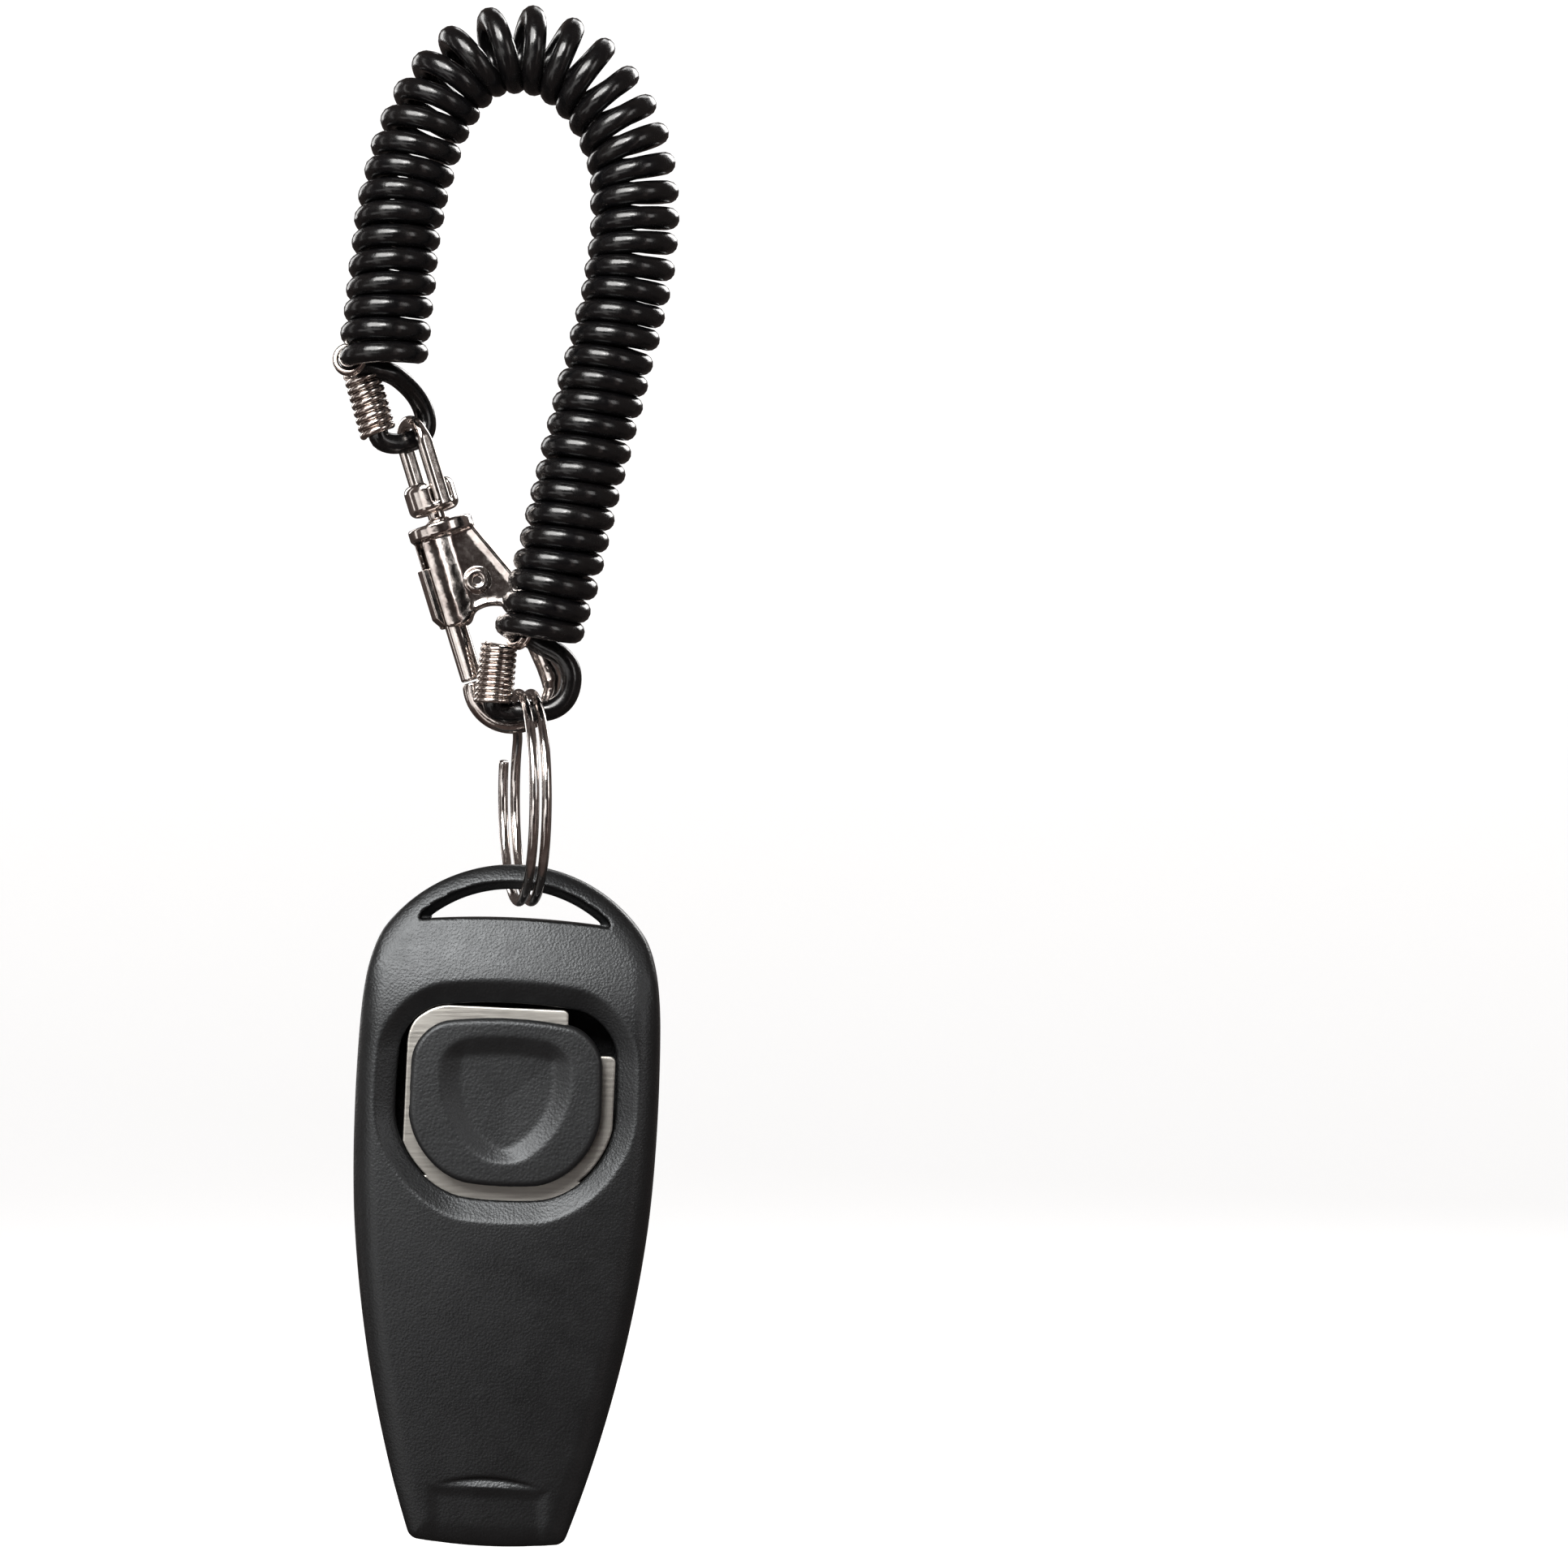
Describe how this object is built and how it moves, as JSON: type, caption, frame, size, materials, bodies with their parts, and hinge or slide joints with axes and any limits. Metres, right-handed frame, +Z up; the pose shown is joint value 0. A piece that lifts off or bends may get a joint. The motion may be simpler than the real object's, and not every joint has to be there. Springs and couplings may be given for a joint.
{
  "type": "clicker trainer",
  "caption": "Hand-held training clicker with whistle mouthpiece, split ring, swivel snap hook and coiled wrist cord, hanging by the cord.",
  "frame": {"origin": "the inside top of the cord's arch, where a finger or a peg holds the hanging trainer up", "axes": "+Z up along the hanging case, -Y out of the button's face, +X to the right seen from the button's side"},
  "size_m": [0.0414, 0.0262, 0.1866],
  "materials": {
    "cord": "glossy",
    "crimp_wire": "polished nickel",
    "ring_steel": "polished nickel",
    "case_black": "fine grained matt",
    "inner_plastic": "matt",
    "plate_steel": "satin",
    "button_black": "fine grained satin",
    "hook_nickel": "polished nickel, zinc casting"
  },
  "bodies": {
    "lanyard": {"coil_cord": "cord", "ring_end_loop": "cord", "hook_end_loop": "cord", "ring_end_crimp": "crimp_wire", "hook_end_crimp": "crimp_wire"},
    "ring": {"split_ring": "ring_steel"},
    "case": {"front_cover": "case_black", "back_cover": "case_black", "whistle_block": "case_black", "plate_keeper": "inner_plastic", "keeper_screws": "ring_steel"},
    "clicker": {"clicker_plate": "plate_steel", "button_cap": "button_black", "button_rivet": "plate_steel", "rivet_washer": "plate_steel"},
    "hook": {"hook_body": "hook_nickel", "swivel_pin": "hook_nickel"},
    "eye": {"swivel_eye": "hook_nickel"},
    "bolt": {"hook_bolt": "hook_nickel", "thumb_slide": "hook_nickel", "bolt_spring": "ring_steel"}
  },
  "joints": [
    {"name": "ring_swing", "type": "hinge", "parent": "lanyard", "child": "ring", "pos_m": [0.00145, 0, -0.0749], "axis": [0.9816, 0.1908, 0], "range_deg": [-7, 7]},
    {"name": "case_swing", "type": "hinge", "parent": "ring", "child": "case", "pos_m": [0.00145, 0, -0.08535], "axis": [0.9816, 0.1908, 0], "range_deg": [-60, 60]},
    {"name": "button_press", "type": "hinge", "parent": "case", "child": "clicker", "pos_m": [-0.00122, -0.0044, -0.13506], "axis": [-0.9989, 0, 0.0462], "range_deg": [0, 6], "stiffness_Nm_per_rad": 0.06, "springref_deg": -2.86},
    {"name": "hook_tilt", "type": "hinge", "parent": "lanyard", "child": "hook", "pos_m": [-0.0123, 0.003, -0.0419], "axis": [0, -1, 0], "range_deg": [-0.3, 3]},
    {"name": "swivel_turn", "type": "hinge", "parent": "hook", "child": "eye", "pos_m": [-0.0091, 0.003, -0.0519], "axis": [-0.2924, 0, 0.9563], "range_deg": [-25, 25]},
    {"name": "bolt_slide", "type": "slide", "parent": "hook", "child": "bolt", "axis": [-0.2924, 0, 0.9563], "range_m": [0, 0.003], "stiffness_N_per_m": 300, "springref_m": -0.002, "deforming": ["bolt_spring"]}
  ]
}
